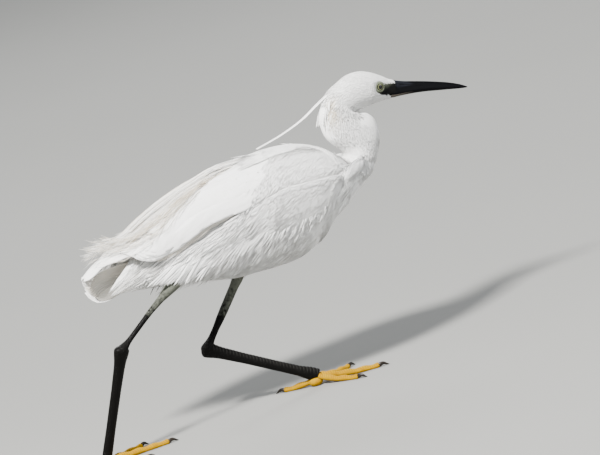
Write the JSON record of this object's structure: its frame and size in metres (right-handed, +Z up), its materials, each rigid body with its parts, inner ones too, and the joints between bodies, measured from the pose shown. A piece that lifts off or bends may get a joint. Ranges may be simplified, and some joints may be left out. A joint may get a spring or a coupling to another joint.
{
  "type": "little egret model",
  "caption": "Life-size still model of a little egret walking with neck folded: white plumage, back and nape plumes, black dagger bill and legs, yellow toes.",
  "frame": {"origin": "on the floor under the middle of the model's footprint", "axes": "+X the way the bird walks, +Y to its left, +Z up"},
  "size_m": [0.4918, 0.096, 0.2701],
  "materials": {
    "plumage": "soft white feathers with a faint cream cast on the long back plumes",
    "bill": "black horn, satin, blue-grey towards the base",
    "eye": "wet and clear, pale yellow iris round a black pupil",
    "leg_skin": "black scaly skin, greyer above the ankle",
    "toe_skin": "bright yellow scaly skin",
    "claw": "dark horn"
  },
  "bodies": {
    "root": {"torso": "plumage", "neck_upper": "plumage", "neck_middle": "plumage", "neck_lower": "plumage", "nape_plume_right": "plumage", "wing_right": "plumage", "nape_plume_left": "plumage", "wing_left": "plumage", "tail": "plumage", "thigh_right": "plumage", "tibia_right": "leg_skin", "tarsus_right": "leg_skin", "foot_right": "toe_skin", "toe_right_1": "toe_skin", "claw_right_1": "claw", "toe_right_2": "toe_skin", "claw_right_2": "claw", "toe_right_3": "toe_skin", "claw_right_3": "claw", "toe_right_4": "toe_skin", "claw_right_4": "claw", "thigh_left": "plumage", "tibia_left": "leg_skin", "tarsus_left": "leg_skin", "foot_left": "toe_skin", "toe_left_1": "toe_skin", "claw_left_1": "claw", "toe_left_2": "toe_skin", "claw_left_2": "claw", "toe_left_3": "toe_skin", "claw_left_3": "claw", "toe_left_4": "toe_skin", "claw_left_4": "claw", "head": "plumage", "upper_mandible": "bill", "lower_mandible": "bill", "eye_right": "eye", "eye_left": "eye"}
  },
  "joints": []
}
